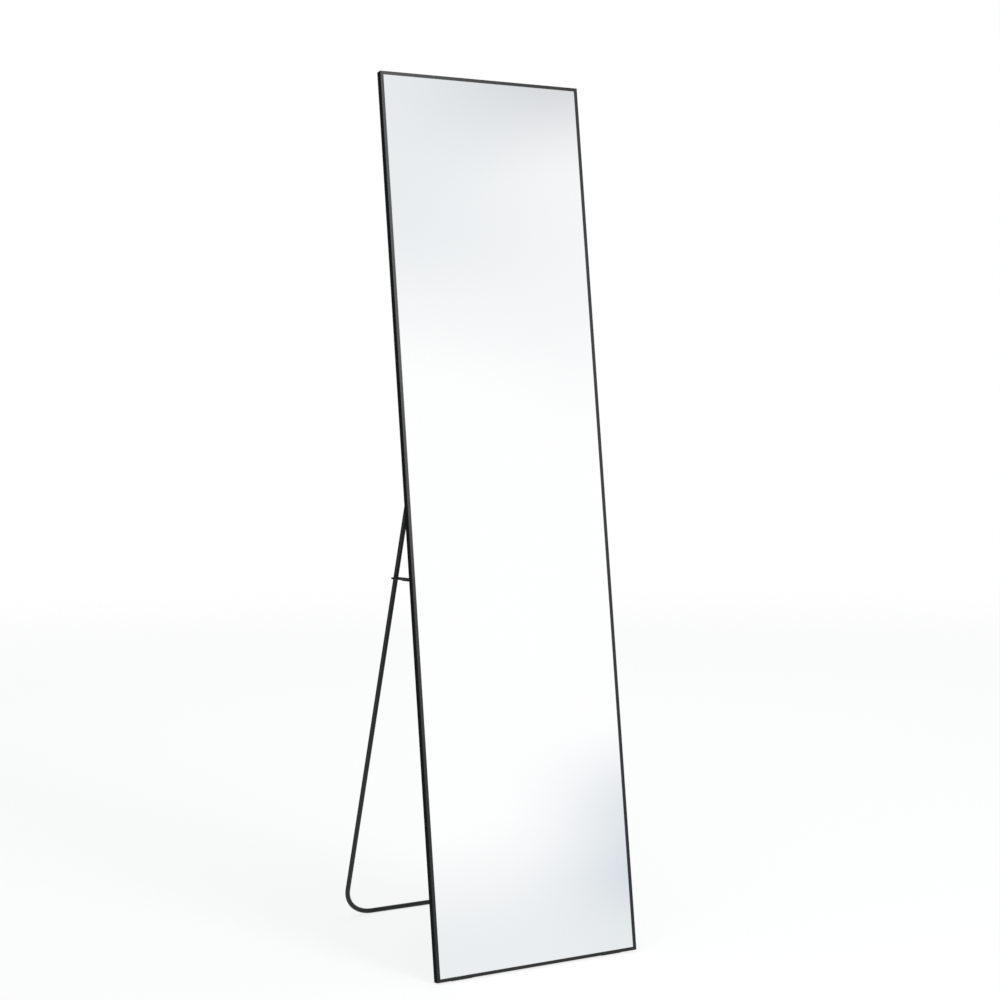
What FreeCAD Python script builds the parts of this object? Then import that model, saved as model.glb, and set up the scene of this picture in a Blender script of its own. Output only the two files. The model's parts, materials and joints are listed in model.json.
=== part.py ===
import FreeCAD, Part
import math
import os

from FreeCAD import Vector

# A tall framed mirror that leans back on a U-shaped folding stand, in millimetres.
# +X is the viewer's right, +Y is the back, +Z is up. The origin is on the floor, in the
# middle of the footprint. Every piece is drawn with the mirror upright, its front face in
# the plane Y = 0 and its bottom edge at Z = 0, and is then leaned back as a whole.

# --- the mirror as a whole ---
mirror_height = 1600.0
mirror_width = 400.0
lean_angle = 7.7          # degrees from upright

# --- the frame's extruded section ---
section_wall = 1.2
front_lip = 5.8           # width of the frame's face, seen from the front
rear_lip = 7.0
edge_radius = 0.5         # the section's outer edges

# --- what the frame holds, from front to back ---
glass_thickness = 4.0
glass_arris = 0.5         # the ground edge of the pane
tape_thickness = 1.0
board_thickness = 5.0
key_thickness = 1.6       # corner keys and spring clips fill the gap behind the board
pack_clearance = 0.8      # round the glass and the board, inside the section

tape_height = 25.0
tape_length = 300.0
tape_count = 7

key_leg_length = 32.0
key_width = 6.8
key_clearance = 0.15
key_screw_radius = 1.45
key_screw_head = 2.3
key_screw_head_height = 1.1
key_screw_places = (12.0, 25.0)   # along each mitre's leg, from the corner

clip_length = 46.0
clip_width = 5.4
clip_sheet = 0.5
clip_play = 0.05          # between a clip and the board or the lip
clip_pitch = 320.0        # between the clips along a stile

# --- the stand's rod ---
rod_radius = 4.5
leg_inset = 29.0          # from the mirror's side to the middle of the leg
leg_length = 968.0        # from the pivot to the middle of the floor bar
folded_drop = 51.0        # from the mirror's bottom edge down to the folded floor bar
floor_bend_radius = 57.0  # to the rod's centreline
pivot_bend_radius = 16.0
fold_gap = 1.0            # between the folded leg and the frame's back

# --- the hinge brackets ---
bracket_sheet = 2.0
bracket_gap = 18.0        # between the two ears
bracket_bend_gap = 2.0    # between the rod's bend and the outer ear
ear_radius = 7.5
bracket_height = 60.0
bracket_edge_radius = 1.2
bracket_screw_up = 22.0   # from the pivot, up and down
bracket_screw_apart = 11.0
running_clearance = 0.08
rod_end_past_ear = 4.2
ring_outer_radius = 7.0
ring_thickness = 1.0
ring_gap = 0.4

# --- the stays: wire bails that the legs pass through ---
wire_radius = 1.75
stay_pivot_drop = 224.0   # from the hinge down to the stay's own pivot, along the back
stay_hold = 245.0         # from the hinge down the leg to where the open stay holds it
stay_half_spread = 14.0   # wire centreline, at the frame
stay_shoulder_start = 54.0   # from the stay's pivot
stay_shoulder_length = 20.0
stay_shoulder_radius = 9.0
stay_end_radius = 5.0
leg_side_gap = 0.4        # between the leg and the wire on each side
leg_nose_gap = 0.3        # between the leg and the stay's nose

stay_bracket_sheet = 1.5
stay_bracket_height = 14.0
stay_bracket_end_gap = 1.0   # between a wire's bend and the ear
stay_ear_radius = 4.5
stay_screw_apart = 20.0
wire_end_past_ear = 1.6

stop_pin_radius = 1.5
stop_pin_stand_out = 3.2  # past the back of the leg
stop_pin_depth = 6.0      # into the leg, from its back

# --- screws in the board ---
board_screw_radius = 1.9
board_screw_head = 3.6
board_screw_head_height = 1.9
board_screw_bite = 4.4    # into the board
thread_clearance = 0.05
recess_share = 0.28       # the width of the cross recess, of the head's radius

# --- the pads under the bottom rail ---
pad_gap = 1.0             # from the floor to the frame's lowest edge
pad_length = 40.0
pad_inset = 30.0          # from the mirror's side
pad_depth = 6.0
pad_setback = 1.0         # from the frame's back

# --- places worked out from the sizes above ---
half_width = mirror_width / 2
glass_front = section_wall
tape_front = glass_front + glass_thickness
board_front = tape_front + tape_thickness
board_back = board_front + board_thickness
rear_lip_front = board_back + key_thickness
frame_depth = rear_lip_front + section_wall

pivot_up = leg_length - folded_drop    # from the mirror's bottom edge, along its back
stay_pivot_up = pivot_up - stay_pivot_drop
leg_x = half_width - leg_inset
pivot_back = frame_depth + fold_gap + rod_radius
outer_ear_x = leg_x - pivot_bend_radius - bracket_bend_gap
inner_ear_x = outer_ear_x - bracket_sheet - bracket_gap
rod_end_x = inner_ear_x - bracket_sheet - rod_end_past_ear

lean = math.radians(lean_angle)
frame_front_up = pad_gap + frame_depth * math.sin(lean)
pivot_height = frame_front_up + pivot_up * math.cos(lean) - pivot_back * math.sin(lean)
leg_slant = math.acos((pivot_height - rod_radius) / leg_length)
open_angle = lean + leg_slant          # between the leg and the mirror's back
footprint = (pivot_up * math.sin(lean) + pivot_back * math.cos(lean)
             + leg_length * math.sin(leg_slant) + rod_radius)

nose_off_leg = rod_radius + leg_nose_gap + wire_radius
stay_half_neck = rod_radius + leg_side_gap + wire_radius
hold_up = pivot_up - stay_hold * math.cos(open_angle) + nose_off_leg * math.sin(open_angle)
hold_back = pivot_back + stay_hold * math.sin(open_angle) + nose_off_leg * math.cos(open_angle)
stay_length = math.hypot(hold_up - stay_pivot_up, hold_back - pivot_back)
stay_rise = math.atan2(hold_up - stay_pivot_up, hold_back - pivot_back)
stay_folded = math.pi / 2 - math.asin(stay_half_neck / stay_length)
stay_swing = stay_rise + stay_folded   # while the stand folds through open_angle

X = Vector(1, 0, 0)
Y = Vector(0, 1, 0)
Z = Vector(0, 0, 1)
ORIGIN = Vector(0, 0, 0)


def box(x_range, y_range, z_range):
    """A box between the lowest and highest X, Y and Z."""
    corner = Vector(x_range[0], y_range[0], z_range[0])
    return Part.makeBox(x_range[1] - x_range[0], y_range[1] - y_range[0],
                        z_range[1] - z_range[0], corner)


def around(middle, width):
    """The range of this width about a middle."""
    return (middle - width / 2, middle + width / 2)


def prism(points, direction):
    """A closed flat outline, drawn out along a direction."""
    return Part.Face(Part.makePolygon(points + points[:1])).extrude(direction)


def mirrored(shape):
    """The same piece on the other side of the mirror."""
    return shape.mirror(ORIGIN, X)


def leaned(shape):
    """A piece drawn with the mirror upright, at its real place in the leaning mirror."""
    placed = shape.copy()
    placed.rotate(ORIGIN, X, -lean_angle)
    placed.translate(Vector(0, -footprint / 2, frame_front_up))
    return placed


def rounded_path(corners, radii):
    """Straight runs between corner points, joined by tangent arcs."""
    edges = []
    start = corners[0]
    for before, corner, after, radius in zip(corners, corners[1:], corners[2:], radii):
        back = (before - corner).normalize()
        ahead = (after - corner).normalize()
        half_angle = back.getAngle(ahead) / 2
        reach = radius / math.tan(half_angle)
        middle = corner + (back + ahead).normalize() * (radius / math.sin(half_angle) - radius)
        arc_start = corner + back * reach
        arc_end = corner + ahead * reach
        if start.distanceToPoint(arc_start) > 1e-6:
            edges.append(Part.makeLine(start, arc_start))
        edges.append(Part.Arc(arc_start, middle, arc_end).toShape())
        start = arc_end
    edges.append(Part.makeLine(start, corners[-1]))
    return Part.Wire(edges)


def round_bar(path, radius):
    """A solid round bar along a path."""
    first = path.OrderedEdges[0]
    start = first.valueAt(first.FirstParameter)
    direction = first.tangentAt(first.FirstParameter)
    section = Part.Wire(Part.makeCircle(radius, start, direction))
    return path.makePipeShell([section], True, False)


def drilled(shape, place, axis, radius, length):
    """A shape with a round hole centred on a place along an axis."""
    start = place - axis * (length / 2)
    return shape.cut(Part.makeCylinder(radius, length, start, axis))


def pan_screw(seat, radius, bite, head_radius, head_height):
    """A cross-recessed screw that points forwards, its head seated at a place."""
    shank = Part.makeCylinder(radius, bite, seat - Y * bite, Y)
    head = Part.makeCylinder(head_radius, head_height, seat, Y)
    rim = max(head.Edges, key=lambda edge: edge.CenterOfMass.y)
    head = head.makeFillet(head_height * 0.6, [rim])
    slot = head_radius * recess_share
    recess_depth = (seat.y + head_height * 0.45, seat.y + head_height + 1)
    for wide, high in ((slot, head_radius), (head_radius, slot)):
        head = head.cut(box(around(seat.x, wide), recess_depth, around(seat.z, high)))
    return shank.fuse(head)


def frame_member(length):
    """A stile or rail standing on end: its outer face at X = 0, mitred at both ends."""
    outline = [Vector(0, 0, 0), Vector(front_lip, 0, 0), Vector(front_lip, section_wall, 0),
               Vector(section_wall, section_wall, 0), Vector(section_wall, rear_lip_front, 0),
               Vector(rear_lip, rear_lip_front, 0), Vector(rear_lip, frame_depth, 0),
               Vector(0, frame_depth, 0)]
    member = prism(outline, Z * length)
    outer_edges = [edge for edge in member.Edges
                   if edge.BoundBox.XMax < 1e-6 and edge.Length > length - 1]
    member = member.makeFillet(min(edge_radius, section_wall * 0.9), outer_edges)
    reach = max(front_lip, rear_lip) + 1
    mitre = [Vector(0, -1, 0), Vector(reach, -1, reach), Vector(reach, -1, length - reach),
             Vector(0, -1, length)]
    return member.common(prism(mitre, Y * (frame_depth + 2)))


def stile():
    """The frame's left side, with holes for the corner screws."""
    shape = frame_member(mirror_height)
    shape.translate(Vector(-half_width, 0, 0))
    return with_key_screw_holes(shape)


def rail(top):
    """The frame's top or bottom, with holes for the corner screws."""
    shape = frame_member(mirror_width)
    shape.rotate(ORIGIN, Y, 90)
    shape.translate(Vector(-half_width, 0, mirror_height))
    if not top:
        shape = shape.mirror(Vector(0, 0, mirror_height / 2), Z)
    return with_key_screw_holes(shape)


def key_screw_seats():
    """Where the corner screws sit on the frame's back."""
    line = (section_wall + rear_lip) / 2
    corner = [(line, along) for along in key_screw_places]
    corner += [(along, line) for along in key_screw_places]
    seats = []
    for side in (-1, 1):
        for across, up in corner:
            x = side * (half_width - across)
            seats += [Vector(x, frame_depth, up), Vector(x, frame_depth, mirror_height - up)]
    return seats


def with_key_screw_holes(shape):
    """A frame member with the corner screws' clearance holes in its rear lip."""
    for seat in key_screw_seats():
        if shape.BoundBox.isInside(seat - Y * section_wall / 2):
            shape = drilled(shape, seat - Y * section_wall / 2, Y,
                            key_screw_radius + 2 * thread_clearance, section_wall * 1.5)
    return shape


def corner_key():
    """The L-shaped plate in the lower left corner of the frame's rear channel."""
    low = section_wall + key_clearance
    high = low + key_leg_length
    inner = low + key_width - section_wall
    outline = [Vector(low, 0, low), Vector(high, 0, low), Vector(high, 0, inner),
               Vector(inner, 0, inner), Vector(inner, 0, high), Vector(low, 0, high)]
    key = prism(outline, Y * key_thickness)
    key.translate(Vector(-half_width, board_back, 0))
    for seat in key_screw_seats():
        if key.BoundBox.isInside(Vector(seat.x, board_back + key_thickness / 2, seat.z)):
            key = drilled(key, seat, Y, key_screw_radius + thread_clearance, 4 * frame_depth)
    return key


def corner_screws():
    """The screws that hold the corner keys, two in each leg of a key."""
    bite = section_wall + key_thickness - key_clearance
    return [pan_screw(seat, key_screw_radius, bite, key_screw_head, key_screw_head_height)
            for seat in key_screw_seats()]


def spring_clips():
    """Bowed steel strips between the board and the rear lip, along both stiles."""
    rise = key_thickness - clip_sheet - 2 * clip_play
    count = int((mirror_height - 2 * key_leg_length) / clip_pitch)
    clips = []
    for index in range(count):
        up = mirror_height / 2 + (index - (count - 1) / 2) * clip_pitch
        low = Vector(0, board_back + clip_play, up - clip_length / 2)
        crown = Vector(0, board_back + clip_play + rise, up)
        high = Vector(0, board_back + clip_play, up + clip_length / 2)
        thick = Y * clip_sheet
        front = Part.Arc(low, crown, high)
        back = Part.Arc(low + thick, crown + thick, high + thick)
        outline = Part.Wire([front.toShape(), Part.makeLine(high, high + thick),
                             back.toShape(), Part.makeLine(low + thick, low)])
        clip = Part.Face(outline).extrude(X * clip_width)
        clip.translate(Vector(-half_width + section_wall + key_clearance, 0, 0))
        clips += [clip, mirrored(clip)]
    return clips


def pack_layer(front, thickness):
    """A sheet that fills the frame's section, from its front face back."""
    inset = section_wall + pack_clearance
    return box((inset - half_width, half_width - inset), (front, front + thickness),
               (inset, mirror_height - inset))


def mirror_glass():
    """The silvered pane, its edges ground off."""
    pane = pack_layer(glass_front, glass_thickness)
    return pane.makeChamfer(glass_arris, pane.Edges)


def cushion_tapes():
    """The foam tapes between the glass and the board, evenly spaced."""
    inset = section_wall + pack_clearance + tape_height
    pitch = (mirror_height - 2 * inset - tape_height) / (tape_count - 1)
    tapes = []
    for index in range(tape_count):
        up = inset + tape_height / 2 + index * pitch
        tapes.append(box(around(0, tape_length), (tape_front, board_front),
                         around(up, tape_height)))
    return tapes


def backing_board():
    """The board behind the glass, with pilot holes for the brackets' screws."""
    board = pack_layer(board_front, board_thickness)
    for seat in hinge_screw_seats() + stay_screw_seats():
        for place in (seat, Vector(-seat.x, seat.y, seat.z)):
            depth = board_screw_bite + thread_clearance
            hole = Part.makeCylinder(board_screw_radius + thread_clearance, depth,
                                     Vector(place.x, board_back - depth, place.z), Y)
            board = board.cut(hole)
    return board


def hinge_screw_seats():
    """Where the left hinge bracket's screws sit on its base."""
    middle = -(outer_ear_x + inner_ear_x - bracket_sheet) / 2
    return [Vector(middle + side * bracket_screw_apart / 2, board_back + bracket_sheet,
                   pivot_up + up * bracket_screw_up) for side in (-1, 1) for up in (-1, 1)]


def hinge_bracket():
    """The left hinge bracket: a base plate with two ears that the rod's end turns in."""
    base = box((-outer_ear_x, bracket_sheet - inner_ear_x),
               (board_back, board_back + bracket_sheet), around(pivot_up, bracket_height))
    corners = [edge for edge in base.Edges if abs(edge.tangentAt(0).y) > 0.9]
    bracket = base.makeFillet(bracket_edge_radius * 2, corners)
    for ear_x in (outer_ear_x, inner_ear_x):
        ear = box((-ear_x, bracket_sheet - ear_x), (board_back, pivot_back),
                  around(pivot_up, 2 * ear_radius))
        top = Part.makeCylinder(ear_radius, bracket_sheet,
                                Vector(-ear_x, pivot_back, pivot_up), X)
        bracket = bracket.fuse([ear, top])
    bracket = bracket.removeSplitter()
    pivot = Vector(-(outer_ear_x + inner_ear_x) / 2, pivot_back, pivot_up)
    bracket = drilled(bracket, pivot, X, rod_radius + running_clearance, 2 * leg_x)
    return with_board_screw_holes(bracket, hinge_screw_seats())


def with_board_screw_holes(bracket, seats):
    """A bracket with clearance holes for its screws."""
    for seat in seats:
        bracket = drilled(bracket, seat, Y, board_screw_radius + 2 * thread_clearance,
                          4 * bracket_sheet)
    return bracket


def board_screws(seats):
    """The screws that hold one bracket to the board."""
    return [pan_screw(seat, board_screw_radius, board_screw_bite + seat.y - board_back,
                      board_screw_head, board_screw_head_height) for seat in seats]


def leg_point(down, off):
    """A place by the open left leg: down from the pivot, and off its centreline to the back."""
    up = pivot_up - down * math.cos(open_angle) + off * math.sin(open_angle)
    back = pivot_back + down * math.sin(open_angle) + off * math.cos(open_angle)
    return Vector(-leg_x, back, up)


def stand_rod():
    """The U-shaped stand, one rod with its upper ends turned inwards as hinge pins."""
    top = leg_point(0, 0)
    bottom = leg_point(leg_length, 0)
    left = [Vector(-rod_end_x, top.y, top.z), top, bottom]
    right = [Vector(-point.x, point.y, point.z) for point in reversed(left)]
    radii = (pivot_bend_radius, floor_bend_radius, floor_bend_radius, pivot_bend_radius)
    rod = round_bar(rounded_path(left + right, radii), rod_radius)
    pin = stop_pin()
    return rod.cut([pin, mirrored(pin)])


def stop_pin():
    """The pin in the back of the left leg that keeps the stay's nose from sliding up."""
    down = stay_hold - wire_radius - leg_nose_gap - stop_pin_radius
    start = leg_point(down, rod_radius - stop_pin_depth)
    outward = leg_point(down, rod_radius) - start
    pin = Part.makeCylinder(stop_pin_radius, stop_pin_depth + stop_pin_stand_out, start, outward)
    end = max(pin.Edges, key=lambda edge: edge.CenterOfMass.y)
    return pin.makeFillet(stop_pin_radius * 0.4, [end])


def push_ring():
    """The ring pushed on the rod's left end, inside the inner ear."""
    start = Vector(bracket_sheet - inner_ear_x + ring_gap, pivot_back, pivot_up)
    ring = Part.makeCylinder(ring_outer_radius, ring_thickness, start, X)
    return ring.cut(Part.makeCylinder(rod_radius, ring_thickness, start, X))


def stay_place(across, along):
    """A place in the open left stay's plane: across from the leg, along from the pivot."""
    return Vector(across - leg_x, pivot_back + along * math.cos(stay_rise),
                  stay_pivot_up + along * math.sin(stay_rise))


def stay():
    """The left stay: a wire bail with a neck that the leg runs in and a closed nose."""
    end = stay_outer_ear() + stay_bracket_sheet + wire_end_past_ear
    shoulder_end = stay_shoulder_start + stay_shoulder_length
    half = [(end, 0, 0), (stay_half_spread, 0, stay_end_radius),
            (stay_half_spread, stay_shoulder_start, stay_shoulder_radius),
            (stay_half_neck, shoulder_end, stay_shoulder_radius),
            (stay_half_neck, stay_length, stay_half_neck)]
    whole = [(-across, along, radius) for across, along, radius in half] + half[::-1]
    corners = [stay_place(across, along) for across, along, radius in whole]
    radii = [radius for across, along, radius in whole[1:-1]]
    return round_bar(rounded_path(corners, radii), wire_radius)


def stay_outer_ear():
    """From the leg's middle to the inner face of each ear of the stay bracket."""
    return stay_half_spread + stay_end_radius + stay_bracket_end_gap


def stay_screw_seats():
    """Where the left stay bracket's screws sit on its base."""
    return [Vector(-leg_x + side * stay_screw_apart / 2, board_back + stay_bracket_sheet,
                   stay_pivot_up) for side in (-1, 1)]


def stay_bracket():
    """The left stay bracket: a strip bent up at both ends into ears for the wire."""
    ear_start = stay_outer_ear()
    half_base = ear_start + stay_bracket_sheet
    base = box(around(-leg_x, 2 * half_base), (board_back, board_back + stay_bracket_sheet),
               around(stay_pivot_up, stay_bracket_height))
    bracket = base
    for left in (-half_base, ear_start):
        ear = box((left - leg_x, left - leg_x + stay_bracket_sheet), (board_back, pivot_back),
                  around(stay_pivot_up, 2 * stay_ear_radius))
        top = Part.makeCylinder(stay_ear_radius, stay_bracket_sheet,
                                Vector(left - leg_x, pivot_back, stay_pivot_up), X)
        bracket = bracket.fuse([ear, top])
    bracket = bracket.removeSplitter()
    bracket = drilled(bracket, stay_place(0, 0), X, wire_radius + running_clearance,
                      2 * half_base + 2)
    return with_board_screw_holes(bracket, stay_screw_seats())


def wedge_pad():
    """The left pad under the bottom rail, its underside level with the floor."""
    back = frame_depth - pad_setback
    front = back - pad_depth

    def drop(depth):
        return (frame_front_up - depth * math.sin(lean)) / math.cos(lean)

    left = pad_inset - half_width
    outline = [Vector(left, front, 0), Vector(left, back, 0), Vector(left, back, -drop(back)),
               Vector(left, front, -drop(front))]
    return prism(outline, X * pad_length)


def sides(name, shape):
    """A piece of the left side and its twin on the right, by name."""
    return {name + "_left": shape, name + "_right": mirrored(shape)}


def all_pieces():
    """Every piece of the mirror by name, drawn upright."""
    key = corner_key()
    top_key = key.mirror(Vector(0, 0, mirror_height / 2), Z)
    pieces = {"rail_top": rail(True), "rail_bottom": rail(False),
              "mirror_glass": mirror_glass(), "cushion_tapes": Part.makeCompound(cushion_tapes()),
              "backing_board": backing_board(), "spring_clips": Part.makeCompound(spring_clips()),
              "corner_screws": Part.makeCompound(corner_screws()), "stand_rod": stand_rod()}
    pieces.update(sides("stile", stile()))
    pieces.update(sides("corner_key_bottom", key))
    pieces.update(sides("corner_key_top", top_key))
    pieces.update(sides("hinge_bracket", hinge_bracket()))
    pieces.update(sides("hinge_screws", Part.makeCompound(board_screws(hinge_screw_seats()))))
    pieces.update(sides("stay_bracket", stay_bracket()))
    pieces.update(sides("stay_screws", Part.makeCompound(board_screws(stay_screw_seats()))))
    pieces.update(sides("stay", stay()))
    pieces.update(sides("stop_pin", stop_pin()))
    pieces.update(sides("push_ring", push_ring()))
    pieces.update(sides("wedge_pad", wedge_pad()))
    return pieces


os.makedirs("parts", exist_ok=True)
for name, shape in all_pieces().items():
    leaned(shape).exportStep("parts/" + name + ".step")
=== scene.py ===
"""Looks of a tall, narrow floor mirror that leans back on a folding rod stand.

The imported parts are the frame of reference. The extruded frame, the glass, the board behind
it, the tapes, the clips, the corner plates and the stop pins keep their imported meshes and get
their finishes here. The bent rod, the wire stays, the folded brackets, the screws, the push-on
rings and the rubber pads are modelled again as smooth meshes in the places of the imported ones.
"""

import json
import logging
import math
from collections.abc import Callable
from dataclasses import dataclass, field
from enum import Enum

import bmesh
import bpy
from mathutils import Matrix, Vector


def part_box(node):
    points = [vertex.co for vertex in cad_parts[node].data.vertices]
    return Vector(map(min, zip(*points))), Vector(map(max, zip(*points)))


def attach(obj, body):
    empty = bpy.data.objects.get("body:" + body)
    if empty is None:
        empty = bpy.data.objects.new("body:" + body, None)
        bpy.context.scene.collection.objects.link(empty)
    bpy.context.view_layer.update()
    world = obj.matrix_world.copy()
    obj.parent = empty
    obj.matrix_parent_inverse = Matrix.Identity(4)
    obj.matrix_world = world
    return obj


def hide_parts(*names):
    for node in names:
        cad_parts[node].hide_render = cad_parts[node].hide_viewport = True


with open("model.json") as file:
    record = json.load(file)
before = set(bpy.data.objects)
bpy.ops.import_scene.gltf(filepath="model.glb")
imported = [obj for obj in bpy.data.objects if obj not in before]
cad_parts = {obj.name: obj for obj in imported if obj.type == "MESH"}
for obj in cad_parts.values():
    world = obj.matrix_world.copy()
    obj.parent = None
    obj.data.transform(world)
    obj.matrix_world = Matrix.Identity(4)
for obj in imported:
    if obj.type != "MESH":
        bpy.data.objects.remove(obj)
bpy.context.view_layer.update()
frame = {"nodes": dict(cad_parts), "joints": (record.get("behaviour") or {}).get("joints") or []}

MM = 0.001
TINY = 0.001 * MM  # lengths up to this count as none
ALONG = 0.9  # the least cosine of a direction that counts as along an axis
log = logging.getLogger("floor_mirror")

Colour = tuple[float, float, float]
SIDES = {"left": -1, "right": 1}


# --- shader trees ---


class Signal:
    """A number that varies over a surface, with arithmetic written as in Python."""

    def __init__(self, board: "NodeBoard", socket: bpy.types.NodeSocket) -> None:
        """Wraps one output socket of a board's tree."""
        self.board = board
        self.socket = socket

    def _math(self, operation: str, *values: "Signal | float", clamp: bool = False) -> "Signal":
        """Adds a Math node that these values feed in order, and gives its result."""
        settings = {"operation": operation, "use_clamp": clamp}
        node = self.board.node("ShaderNodeMath", settings, dict(enumerate(values)))
        return Signal(self.board, node.outputs[0])

    def __add__(self, other: "Signal | float") -> "Signal":
        """The sum with another value, on either side."""
        return self._math("ADD", self, other)

    __radd__ = __add__

    def __sub__(self, other: "Signal | float") -> "Signal":
        """The difference from another value."""
        return self._math("SUBTRACT", self, other)

    def __rsub__(self, other: float) -> "Signal":
        """A number minus this value."""
        return self._math("SUBTRACT", other, self)

    def __mul__(self, other: "Signal | float") -> "Signal":
        """The product with another value, on either side."""
        return self._math("MULTIPLY", self, other)

    __rmul__ = __mul__

    def __abs__(self) -> "Signal":
        """The value without its sign."""
        return self._math("ABSOLUTE", self)

    def least(self, other: "Signal | float") -> "Signal":
        """The smaller of this and another value."""
        return self._math("MINIMUM", self, other)

    def above(self, other: "Signal | float") -> "Signal":
        """One where this is the greater value, and zero elsewhere."""
        return self._math("GREATER_THAN", self, other)

    def ramp(self, low: float, high: float) -> "Signal":
        """A straight rise from zero at one value to one at another, clamped outside them."""
        scale = 1 / (high - low)
        return self._math("MULTIPLY_ADD", self, scale, -low * scale, clamp=True)

    def smooth(self, low: float, high: float) -> "Signal":
        """The same rise, eased at both ends."""
        rise = self.ramp(low, high)
        return rise * rise * (3 - 2 * rise)


class NodeBoard:
    """Adds nodes to one tree and joins them."""

    def __init__(self, tree: bpy.types.NodeTree) -> None:
        """Clears a material's or the world's tree to start from."""
        self.tree = tree
        tree.nodes.clear()

    def node(self, kind: str, settings: dict | None = None,
             feeds: dict | None = None) -> bpy.types.Node:
        """Adds a node: its settings first, then what feeds its sockets.

        Args:
            kind: The node's type.
            settings: Properties by name.
            feeds: Values, signals or output sockets by input name or index.

        Returns:
            The new node.
        """
        made = self.tree.nodes.new(kind)
        for name, value in (settings or {}).items():
            setattr(made, name, value)
        for key, value in (feeds or {}).items():
            self.feed(made.inputs[key], value)
        return made

    def feed(self, socket: bpy.types.NodeSocket, value: object) -> None:
        """Links a socket to a signal or an output socket, or sets its value."""
        if isinstance(value, Signal):
            value = value.socket
        if isinstance(value, bpy.types.NodeSocket):
            self.tree.links.new(value, socket)
        elif socket.type == "RGBA" and len(value) == 3:
            socket.default_value = (*value, 1)
        else:
            socket.default_value = value

    def noise(self, place: bpy.types.NodeSocket, scale: float, detail: float = 2) -> Signal:
        """Soft random variation around one half, in lumps per unit of the coordinates."""
        feeds = {"Vector": place, "Scale": scale, "Detail": detail}
        return Signal(self, self.node("ShaderNodeTexNoise", feeds=feeds).outputs["Fac"])

    def cells(self, place: bpy.types.NodeSocket, scale: float, feature: str = "F1") -> Signal:
        """The distance to scattered points, in cells, as in foam or crystals."""
        feeds = {"Vector": place, "Scale": scale}
        made = self.node("ShaderNodeTexVoronoi", {"feature": feature}, feeds)
        return Signal(self, made.outputs["Distance"])

    def blend(self, share: Signal, first: object, second: object) -> bpy.types.NodeSocket:
        """The first colour where the share is zero, and the second where it is one."""
        feeds = {0: share, 6: first, 7: second}
        return self.node("ShaderNodeMix", {"data_type": "RGBA"}, feeds).outputs[2]

    def split(self, place: bpy.types.NodeSocket) -> list[Signal]:
        """The three parts of a vector."""
        made = self.node("ShaderNodeSeparateXYZ", feeds={0: place})
        return [Signal(self, socket) for socket in made.outputs]

    def place(self) -> bpy.types.NodeSocket:
        """Object coordinates, which are places in the mirror's frame in metres."""
        return self.node("ShaderNodeTexCoord").outputs["Object"]

    def mapped(self, place: bpy.types.NodeSocket, scale: Colour) -> bpy.types.NodeSocket:
        """Coordinates stretched by a factor along each axis."""
        return self.node("ShaderNodeMapping", feeds={"Vector": place, "Scale": scale}).outputs[0]

    def past(self) -> Signal:
        """One for rays that look straight at the backdrop or through something clear at it."""
        paths = self.node("ShaderNodeLightPath").outputs
        through = Signal(self, paths["Is Transmission Ray"])
        return (through + Signal(self, paths["Is Camera Ray"])).least(1.0)

    def bump(self, height: Signal, depth: float, strength: float = 1.0) -> bpy.types.NodeSocket:
        """The normal, bent by a height whose one is this deep in metres."""
        feeds = {"Height": height, "Distance": depth, "Strength": strength}
        return self.node("ShaderNodeBump", feeds=feeds).outputs["Normal"]


# --- the leaning panel's own coordinates ---


@dataclass(frozen=True)
class Lean:
    """The mirror's outline, and where its upright coordinates lie once it leans back.

    Upright places are (across, back from the front face, up from the bottom edge). The pane and
    the board end inside the outline, by the margin.
    """

    half_width: float = 200 * MM
    height: float = 1600 * MM
    margin: float = 2 * MM
    angle: float = math.radians(7.7)
    depth: float = 14 * MM
    edge_radius: float = 0.5 * MM
    pad_gap: float = 1 * MM

    @property
    def corner(self) -> Vector:
        """The middle of the front face's bottom edge, as if that edge were sharp."""
        slope = math.sin(self.angle)
        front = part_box("stile_left")[0].y - self.edge_radius * slope
        return Vector((0, front, self.pad_gap + self.depth * slope))

    def at(self, place: Vector) -> Matrix:
        """Upright coordinates that start at a place of the leaning mirror."""
        return Matrix.Translation(place) @ Matrix.Rotation(-self.angle, 4, "X")

    def matrix(self) -> Matrix:
        """Turns the mirror's upright places into leaning ones."""
        return self.at(self.corner)

    def upright(self, board: NodeBoard) -> bpy.types.NodeSocket:
        """Upright coordinates of a surface, in metres."""
        feeds = {"Vector": board.place(), "Location": self.corner, "Rotation": (-self.angle, 0, 0)}
        return board.node("ShaderNodeMapping", {"vector_type": "TEXTURE"}, feeds).outputs[0]

    def from_edge(self, across: Signal, up: Signal, top: float) -> Signal:
        """How far a place of the pane or the board lies inside its sides, foot and top."""
        to_side = self.half_width - self.margin - abs(across)
        return to_side.least((up - self.margin).least(top - up))


LEAN = Lean()


# --- finishes ---


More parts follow.
